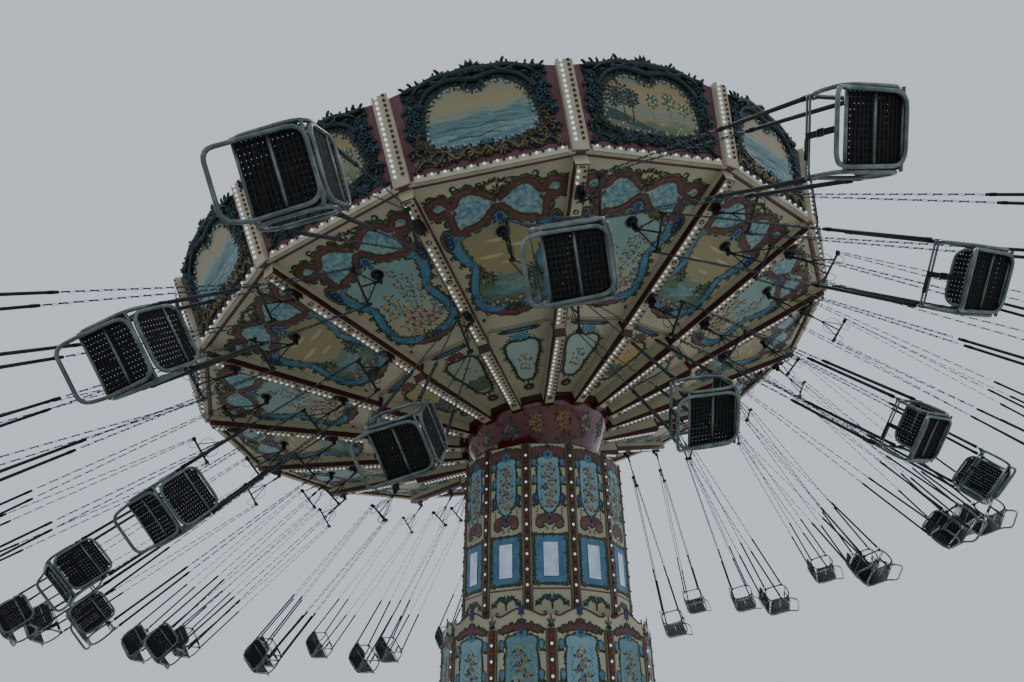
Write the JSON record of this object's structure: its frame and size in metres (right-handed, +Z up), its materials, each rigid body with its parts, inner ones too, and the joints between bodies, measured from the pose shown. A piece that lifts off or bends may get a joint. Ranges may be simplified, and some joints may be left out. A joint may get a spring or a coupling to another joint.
{
  "type": "chair swing ride",
  "caption": "Chair swing ride: a tilting, turning canopy with rounding boards carries rings of chain-hung chairs around a lifting, twelve-sided column in a twelve-sided housing.",
  "frame": {"origin": "centre of the underside of the base plinth, on the ground, on the axis of the tower", "axes": "+Z up along the tower, -Y towards the viewer, +X to the right in the picture"},
  "size_m": [19.8224, 20.0934, 11.1711],
  "materials": {
    "dark_paint": "satin grey-black paint",
    "mast_steel": "ground mast steel",
    "cladding": "cream painted panels with painted ornament",
    "maroon_paint": "dark maroon gloss paint",
    "red_gloss": "glossy deep red paint with painted flowers",
    "ceiling_panels": "painted plywood panels",
    "carved_boards": "painted carved boards",
    "roof_sheet": "coated canvas on the roof ribs",
    "chair_steel": "grey-green powder-coated tube and zinc-plated chain"
  },
  "bodies": {
    "base": {"base_plinth": "dark_paint", "lower_housing": "cladding", "fixed_mast": "dark_paint"},
    "lift": {"lift_mast": "mast_steel"},
    "column": {"centre_column": "cladding"},
    "head": {"tilt_head": "dark_paint"},
    "canopy": {"canopy_frame": "maroon_paint", "drum_bell": "red_gloss", "inner_ceiling": "ceiling_panels", "outer_ceiling": "ceiling_panels", "rounding_boards": "carved_boards", "roof_cone": "roof_sheet"},
    "outer_chair_01": {"outer_chair_01": "chair_steel"},
    "outer_chair_02": {"outer_chair_02": "chair_steel"},
    "outer_chair_03": {"outer_chair_03": "chair_steel"},
    "outer_chair_04": {"outer_chair_04": "chair_steel"},
    "outer_chair_05": {"outer_chair_05": "chair_steel"},
    "outer_chair_06": {"outer_chair_06": "chair_steel"},
    "outer_chair_07": {"outer_chair_07": "chair_steel"},
    "outer_chair_08": {"outer_chair_08": "chair_steel"},
    "outer_chair_09": {"outer_chair_09": "chair_steel"},
    "outer_chair_10": {"outer_chair_10": "chair_steel"},
    "outer_chair_11": {"outer_chair_11": "chair_steel"},
    "outer_chair_12": {"outer_chair_12": "chair_steel"},
    "outer_chair_13": {"outer_chair_13": "chair_steel"},
    "outer_chair_14": {"outer_chair_14": "chair_steel"},
    "outer_chair_15": {"outer_chair_15": "chair_steel"},
    "outer_chair_16": {"outer_chair_16": "chair_steel"},
    "middle_chair_01": {"middle_chair_01": "chair_steel"},
    "middle_chair_02": {"middle_chair_02": "chair_steel"},
    "middle_chair_03": {"middle_chair_03": "chair_steel"},
    "middle_chair_04": {"middle_chair_04": "chair_steel"},
    "middle_chair_05": {"middle_chair_05": "chair_steel"},
    "middle_chair_06": {"middle_chair_06": "chair_steel"},
    "middle_chair_07": {"middle_chair_07": "chair_steel"},
    "middle_chair_08": {"middle_chair_08": "chair_steel"},
    "middle_chair_09": {"middle_chair_09": "chair_steel"},
    "middle_chair_10": {"middle_chair_10": "chair_steel"},
    "middle_chair_11": {"middle_chair_11": "chair_steel"},
    "middle_chair_12": {"middle_chair_12": "chair_steel"},
    "middle_chair_13": {"middle_chair_13": "chair_steel"},
    "middle_chair_14": {"middle_chair_14": "chair_steel"},
    "middle_chair_15": {"middle_chair_15": "chair_steel"},
    "middle_chair_16": {"middle_chair_16": "chair_steel"},
    "inner_chair_01": {"inner_chair_01": "chair_steel"},
    "inner_chair_02": {"inner_chair_02": "chair_steel"},
    "inner_chair_03": {"inner_chair_03": "chair_steel"},
    "inner_chair_04": {"inner_chair_04": "chair_steel"},
    "inner_chair_05": {"inner_chair_05": "chair_steel"},
    "inner_chair_06": {"inner_chair_06": "chair_steel"},
    "inner_chair_07": {"inner_chair_07": "chair_steel"},
    "inner_chair_08": {"inner_chair_08": "chair_steel"},
    "inner_chair_09": {"inner_chair_09": "chair_steel"},
    "inner_chair_10": {"inner_chair_10": "chair_steel"},
    "inner_chair_11": {"inner_chair_11": "chair_steel"},
    "inner_chair_12": {"inner_chair_12": "chair_steel"},
    "inner_chair_13": {"inner_chair_13": "chair_steel"},
    "inner_chair_14": {"inner_chair_14": "chair_steel"},
    "inner_chair_15": {"inner_chair_15": "chair_steel"},
    "inner_chair_16": {"inner_chair_16": "chair_steel"}
  },
  "joints": [
    {"name": "mast_lift", "type": "slide", "parent": "base", "child": "lift", "axis": [0, 0, 1], "range_m": [-2.2, 0]},
    {"name": "column_turn", "type": "hinge", "parent": "lift", "child": "column", "pos_m": [0, 0, 5.56], "axis": [0, 0, 1], "continuous": true},
    {"name": "canopy_tilt", "type": "hinge", "parent": "column", "child": "head", "pos_m": [0, 0, 6.785], "axis": [-0.0906, -0.9959, 0], "range_deg": [-10.9, 2.1]},
    {"name": "canopy_spin", "type": "hinge", "parent": "head", "child": "canopy", "pos_m": [0, 0, 6.785], "axis": [-0.1883, 0.0171, 0.982], "continuous": true},
    {"name": "outer_chair_01_swing", "type": "hinge", "parent": "canopy", "child": "outer_chair_01", "pos_m": [0.37629, -5.69048, 8.26473], "axis": [-0.9636, -0.1962, -0.1814], "range_deg": [-50.28, 4]},
    {"name": "outer_chair_02_swing", "type": "hinge", "parent": "canopy", "child": "outer_chair_02", "pos_m": [2.47731, -5.00761, 8.65573], "axis": [-0.8039, -0.577, -0.1441], "range_deg": [-46.6, 3.75]},
    {"name": "outer_chair_03_swing", "type": "hinge", "parent": "canopy", "child": "outer_chair_03", "pos_m": [4.16434, -3.55901, 8.95399], "axis": [-0.4719, -0.8784, -0.0752], "range_deg": [-44.01, 3.55]},
    {"name": "outer_chair_04_swing", "type": "hinge", "parent": "canopy", "child": "outer_chair_04", "pos_m": [5.18056, -1.56524, 9.11408], "axis": [-0.0139, -0.9998, 0.0148], "range_deg": [-43.28, 3.49]},
    {"name": "outer_chair_05_swing", "type": "hinge", "parent": "canopy", "child": "outer_chair_05", "pos_m": [5.37126, 0.67018, 9.11163], "axis": [0.4476, -0.8884, 0.1014], "range_deg": [-44.7, 3.6]},
    {"name": "outer_chair_06_swing", "type": "hinge", "parent": "canopy", "child": "outer_chair_06", "pos_m": [4.7074, 2.80692, 8.94703], "axis": [0.7883, -0.5938, 0.1615], "range_deg": [-47.88, 3.85]},
    {"name": "outer_chair_07_swing", "type": "hinge", "parent": "canopy", "child": "outer_chair_07", "pos_m": [3.29006, 4.51968, 8.64532], "axis": [0.9582, -0.2161, 0.1875], "range_deg": [-51.98, 4.18]},
    {"name": "outer_chair_08_swing", "type": "hinge", "parent": "canopy", "child": "outer_chair_08", "pos_m": [1.335, 5.54772, 8.25244], "axis": [0.9693, 0.1642, 0.183], "range_deg": [-56.2, 4.52]},
    {"name": "outer_chair_09_swing", "type": "hinge", "parent": "canopy", "child": "outer_chair_09", "pos_m": [-0.86013, 5.73452, 7.82821], "axis": [0.8518, 0.5005, 0.1546], "range_deg": [-59.97, 4.82]},
    {"name": "outer_chair_10_swing", "type": "hinge", "parent": "canopy", "child": "outer_chair_10", "pos_m": [-2.96115, 5.05164, 7.4372], "axis": [0.6349, 0.7649, 0.1084], "range_deg": [-62.87, 5.05]},
    {"name": "outer_chair_11_swing", "type": "hinge", "parent": "canopy", "child": "outer_chair_11", "pos_m": [-4.64818, 3.60304, 7.13894], "axis": [0.3465, 0.9367, 0.0501], "range_deg": [-64.61, 5.19]},
    {"name": "outer_chair_12_swing", "type": "hinge", "parent": "canopy", "child": "outer_chair_12", "pos_m": [-5.6644, 1.60927, 6.97886], "axis": [0.0181, 0.9997, -0.014], "range_deg": [-65.02, 5.22]},
    {"name": "outer_chair_13_swing", "type": "hinge", "parent": "canopy", "child": "outer_chair_13", "pos_m": [-5.8551, -0.62615, 6.9813], "axis": [-0.3133, 0.9465, -0.0766], "range_deg": [-64.01, 5.14]},
    {"name": "outer_chair_14_swing", "type": "hinge", "parent": "canopy", "child": "outer_chair_14", "pos_m": [-5.19124, -2.76289, 7.1459], "axis": [-0.6097, 0.7818, -0.1306], "range_deg": [-61.72, 4.96]},
    {"name": "outer_chair_15_swing", "type": "hinge", "parent": "canopy", "child": "outer_chair_15", "pos_m": [-3.7739, -4.47565, 7.44761], "axis": [-0.8368, 0.5207, -0.1696], "range_deg": [-58.41, 4.69]},
    {"name": "outer_chair_16_swing", "type": "hinge", "parent": "canopy", "child": "outer_chair_16", "pos_m": [-1.81884, -5.50369, 7.84049], "axis": [-0.9645, 0.1851, -0.1882], "range_deg": [-54.46, 4.38]},
    {"name": "middle_chair_01_swing", "type": "hinge", "parent": "canopy", "child": "middle_chair_01", "pos_m": [1.26185, -4.85324, 8.48068], "axis": [-0.9164, -0.3626, -0.1694], "range_deg": [-43.12, 3.48]},
    {"name": "middle_chair_02_swing", "type": "hinge", "parent": "canopy", "child": "middle_chair_02", "pos_m": [2.98139, -3.88568, 8.79356], "axis": [-0.6737, -0.7297, -0.1165], "range_deg": [-39.78, 3.21]},
    {"name": "middle_chair_03_swing", "type": "hinge", "parent": "canopy", "child": "middle_chair_03", "pos_m": [4.20851, -2.32305, 9.00162], "axis": [-0.2556, -0.9662, -0.0322], "range_deg": [-37.98, 3.07]},
    {"name": "middle_chair_04_swing", "type": "hinge", "parent": "canopy", "child": "middle_chair_04", "pos_m": [4.75638, -0.40325, 9.07318], "axis": [0.2423, -0.9681, 0.0634], "range_deg": [-38.36, 3.1]},
    {"name": "middle_chair_05_swing", "type": "hinge", "parent": "canopy", "child": "middle_chair_05", "pos_m": [4.54159, 1.58144, 8.99735], "axis": [0.663, -0.7354, 0.14], "range_deg": [-40.87, 3.3]},
    {"name": "middle_chair_06_swing", "type": "hinge", "parent": "canopy", "child": "middle_chair_06", "pos_m": [3.59685, 3.32889, 8.78567], "axis": [0.9105, -0.3717, 0.1811], "range_deg": [-44.73, 3.6]},
    {"name": "middle_chair_07_swing", "type": "hinge", "parent": "canopy", "child": "middle_chair_07", "pos_m": [2.06598, 4.57305, 8.47037], "axis": [0.982, 0.0183, 0.188], "range_deg": [-49.01, 3.94]},
    {"name": "middle_chair_08_swing", "type": "hinge", "parent": "canopy", "child": "middle_chair_08", "pos_m": [0.18204, 5.12451, 8.09945], "axis": [0.912, 0.374, 0.1684], "range_deg": [-53.02, 4.26]},
    {"name": "middle_chair_09_swing", "type": "hinge", "parent": "canopy", "child": "middle_chair_09", "pos_m": [-1.76815, 4.89931, 7.72938], "axis": [0.7354, 0.6652, 0.1294], "range_deg": [-56.31, 4.53]},
    {"name": "middle_chair_10_swing", "type": "hinge", "parent": "canopy", "child": "middle_chair_10", "pos_m": [-3.48769, 3.93175, 7.4165], "axis": [0.4809, 0.8734, 0.077], "range_deg": [-58.58, 4.71]},
    {"name": "middle_chair_11_swing", "type": "hinge", "parent": "canopy", "child": "middle_chair_11", "pos_m": [-4.71481, 2.36913, 7.20844], "axis": [0.1761, 0.9842, 0.0166], "range_deg": [-59.6, 4.79]},
    {"name": "middle_chair_12_swing", "type": "hinge", "parent": "canopy", "child": "middle_chair_12", "pos_m": [-5.26268, 0.44933, 7.13688], "axis": [-0.148, 0.9879, -0.0456], "range_deg": [-59.28, 4.76]},
    {"name": "middle_chair_13_swing", "type": "hinge", "parent": "canopy", "child": "middle_chair_13", "pos_m": [-5.04789, -1.53537, 7.21271], "axis": [-0.4576, 0.8832, -0.1032], "range_deg": [-57.65, 4.63]},
    {"name": "middle_chair_14_swing", "type": "hinge", "parent": "canopy", "child": "middle_chair_14", "pos_m": [-4.10315, -3.28281, 7.42439], "axis": [-0.7197, 0.6779, -0.1499], "range_deg": [-54.87, 4.41]},
    {"name": "middle_chair_15_swing", "type": "hinge", "parent": "canopy", "child": "middle_chair_15", "pos_m": [-2.57228, -4.52697, 7.73968], "axis": [-0.9043, 0.387, -0.1802], "range_deg": [-51.25, 4.12]},
    {"name": "middle_chair_16_swing", "type": "hinge", "parent": "canopy", "child": "middle_chair_16", "pos_m": [-0.68834, -5.07843, 8.1106], "axis": [-0.9816, 0.0298, -0.1888], "range_deg": [-47.17, 3.8]},
    {"name": "inner_chair_01_swing", "type": "hinge", "parent": "canopy", "child": "inner_chair_01", "pos_m": [0.26619, -3.90982, 7.7614], "axis": [-0.9784, -0.0902, -0.1861], "range_deg": [-41.22, 3.33]},
    {"name": "inner_chair_02_swing", "type": "hinge", "parent": "canopy", "child": "inner_chair_02", "pos_m": [1.70949, -3.44071, 8.03001], "axis": [-0.8582, -0.4889, -0.1561], "range_deg": [-37.31, 3.01]},
    {"name": "inner_chair_03_swing", "type": "hinge", "parent": "canopy", "child": "inner_chair_03", "pos_m": [2.86841, -2.44559, 8.23489], "axis": [-0.5451, -0.8335, -0.09], "range_deg": [-34.4, 2.78]},
    {"name": "inner_chair_04_swing", "type": "hinge", "parent": "canopy", "child": "inner_chair_04", "pos_m": [3.56651, -1.07595, 8.34487], "axis": [-0.0687, -0.9976, 0.0042], "range_deg": [-33.35, 2.7]},
    {"name": "inner_chair_05_swing", "type": "hinge", "parent": "canopy", "child": "inner_chair_05", "pos_m": [3.69751, 0.45968, 8.34319], "axis": [0.4282, -0.8984, 0.0978], "range_deg": [-34.61, 2.8]},
    {"name": "inner_chair_06_swing", "type": "hinge", "parent": "canopy", "child": "inner_chair_06", "pos_m": [3.24147, 1.92753, 8.23011], "axis": [0.7885, -0.5935, 0.1616], "range_deg": [-37.74, 3.05]},
    {"name": "inner_chair_07_swing", "type": "hinge", "parent": "canopy", "child": "inner_chair_07", "pos_m": [2.26782, 3.10413, 8.02285], "axis": [0.96, -0.2078, 0.1877], "range_deg": [-41.85, 3.38]},
    {"name": "inner_chair_08_swing", "type": "hinge", "parent": "canopy", "child": "inner_chair_08", "pos_m": [0.92478, 3.81034, 7.75296], "axis": [0.9683, 0.1703, 0.1827], "range_deg": [-46.07, 3.71]},
    {"name": "inner_chair_09_swing", "type": "hinge", "parent": "canopy", "child": "inner_chair_09", "pos_m": [-0.58318, 3.93866, 7.46153], "axis": [0.853, 0.4984, 0.1549], "range_deg": [-49.83, 4.01]},
    {"name": "inner_chair_10_swing", "type": "hinge", "parent": "canopy", "child": "inner_chair_10", "pos_m": [-2.02649, 3.46956, 7.19293], "axis": [0.6459, 0.7553, 0.1107], "range_deg": [-52.76, 4.24]},
    {"name": "inner_chair_11_swing", "type": "hinge", "parent": "canopy", "child": "inner_chair_11", "pos_m": [-3.18541, 2.47444, 6.98804], "axis": [0.3735, 0.926, 0.0555], "range_deg": [-54.59, 4.39]},
    {"name": "inner_chair_12_swing", "type": "hinge", "parent": "canopy", "child": "inner_chair_12", "pos_m": [-3.88351, 1.1048, 6.87807], "axis": [0.0627, 0.998, -0.0054], "range_deg": [-55.15, 4.43]},
    {"name": "inner_chair_13_swing", "type": "hinge", "parent": "canopy", "child": "inner_chair_13", "pos_m": [-4.01451, -0.43084, 6.87974], "axis": [-0.2555, 0.9646, -0.0658], "range_deg": [-54.35, 4.37]},
    {"name": "inner_chair_14_swing", "type": "hinge", "parent": "canopy", "child": "inner_chair_14", "pos_m": [-3.55847, -1.89868, 6.99282], "axis": [-0.5489, 0.8273, -0.1197], "range_deg": [-52.3, 4.21]},
    {"name": "inner_chair_15_swing", "type": "hinge", "parent": "canopy", "child": "inner_chair_15", "pos_m": [-2.58481, -3.07528, 7.20008], "axis": [-0.7869, 0.5956, -0.1613], "range_deg": [-49.2, 3.96]},
    {"name": "inner_chair_16_swing", "type": "hinge", "parent": "canopy", "child": "inner_chair_16", "pos_m": [-1.24177, -3.78149, 7.46997], "axis": [-0.9409, 0.2835, -0.1854], "range_deg": [-45.37, 3.66]}
  ],
  "couplings": [
    {"joint": "outer_chair_02_swing", "follows": "outer_chair_01_swing", "ratio": 0.9259},
    {"joint": "outer_chair_03_swing", "follows": "outer_chair_01_swing", "ratio": 0.8743},
    {"joint": "outer_chair_04_swing", "follows": "outer_chair_01_swing", "ratio": 0.8597},
    {"joint": "outer_chair_05_swing", "follows": "outer_chair_01_swing", "ratio": 0.888},
    {"joint": "outer_chair_06_swing", "follows": "outer_chair_01_swing", "ratio": 0.9512},
    {"joint": "outer_chair_07_swing", "follows": "outer_chair_01_swing", "ratio": 1.0328},
    {"joint": "outer_chair_08_swing", "follows": "outer_chair_01_swing", "ratio": 1.1168},
    {"joint": "outer_chair_09_swing", "follows": "outer_chair_01_swing", "ratio": 1.1917},
    {"joint": "outer_chair_10_swing", "follows": "outer_chair_01_swing", "ratio": 1.2494},
    {"joint": "outer_chair_11_swing", "follows": "outer_chair_01_swing", "ratio": 1.2841},
    {"joint": "outer_chair_12_swing", "follows": "outer_chair_01_swing", "ratio": 1.2921},
    {"joint": "outer_chair_13_swing", "follows": "outer_chair_01_swing", "ratio": 1.2721},
    {"joint": "outer_chair_14_swing", "follows": "outer_chair_01_swing", "ratio": 1.2265},
    {"joint": "outer_chair_15_swing", "follows": "outer_chair_01_swing", "ratio": 1.1607},
    {"joint": "outer_chair_16_swing", "follows": "outer_chair_01_swing", "ratio": 1.0821},
    {"joint": "middle_chair_01_swing", "follows": "outer_chair_01_swing", "ratio": 0.8566},
    {"joint": "middle_chair_02_swing", "follows": "outer_chair_01_swing", "ratio": 0.7901},
    {"joint": "middle_chair_03_swing", "follows": "outer_chair_01_swing", "ratio": 0.7543},
    {"joint": "middle_chair_04_swing", "follows": "outer_chair_01_swing", "ratio": 0.762},
    {"joint": "middle_chair_05_swing", "follows": "outer_chair_01_swing", "ratio": 0.8119},
    {"joint": "middle_chair_06_swing", "follows": "outer_chair_01_swing", "ratio": 0.8886},
    {"joint": "middle_chair_07_swing", "follows": "outer_chair_01_swing", "ratio": 0.9738},
    {"joint": "middle_chair_08_swing", "follows": "outer_chair_01_swing", "ratio": 1.0536},
    {"joint": "middle_chair_09_swing", "follows": "outer_chair_01_swing", "ratio": 1.119},
    {"joint": "middle_chair_10_swing", "follows": "outer_chair_01_swing", "ratio": 1.164},
    {"joint": "middle_chair_11_swing", "follows": "outer_chair_01_swing", "ratio": 1.1844},
    {"joint": "middle_chair_12_swing", "follows": "outer_chair_01_swing", "ratio": 1.178},
    {"joint": "middle_chair_13_swing", "follows": "outer_chair_01_swing", "ratio": 1.1455},
    {"joint": "middle_chair_14_swing", "follows": "outer_chair_01_swing", "ratio": 1.0903},
    {"joint": "middle_chair_15_swing", "follows": "outer_chair_01_swing", "ratio": 1.0183},
    {"joint": "middle_chair_16_swing", "follows": "outer_chair_01_swing", "ratio": 0.9371},
    {"joint": "inner_chair_01_swing", "follows": "outer_chair_01_swing", "ratio": 0.8189},
    {"joint": "inner_chair_02_swing", "follows": "outer_chair_01_swing", "ratio": 0.741},
    {"joint": "inner_chair_03_swing", "follows": "outer_chair_01_swing", "ratio": 0.6831},
    {"joint": "inner_chair_04_swing", "follows": "outer_chair_01_swing", "ratio": 0.6623},
    {"joint": "inner_chair_05_swing", "follows": "outer_chair_01_swing", "ratio": 0.6873},
    {"joint": "inner_chair_06_swing", "follows": "outer_chair_01_swing", "ratio": 0.7497},
    {"joint": "inner_chair_07_swing", "follows": "outer_chair_01_swing", "ratio": 0.8313},
    {"joint": "inner_chair_08_swing", "follows": "outer_chair_01_swing", "ratio": 0.9152},
    {"joint": "inner_chair_09_swing", "follows": "outer_chair_01_swing", "ratio": 0.99},
    {"joint": "inner_chair_10_swing", "follows": "outer_chair_01_swing", "ratio": 1.0483},
    {"joint": "inner_chair_11_swing", "follows": "outer_chair_01_swing", "ratio": 1.0847},
    {"joint": "inner_chair_12_swing", "follows": "outer_chair_01_swing", "ratio": 1.0958},
    {"joint": "inner_chair_13_swing", "follows": "outer_chair_01_swing", "ratio": 1.08},
    {"joint": "inner_chair_14_swing", "follows": "outer_chair_01_swing", "ratio": 1.0392},
    {"joint": "inner_chair_15_swing", "follows": "outer_chair_01_swing", "ratio": 0.9775},
    {"joint": "inner_chair_16_swing", "follows": "outer_chair_01_swing", "ratio": 0.9014}
  ]
}
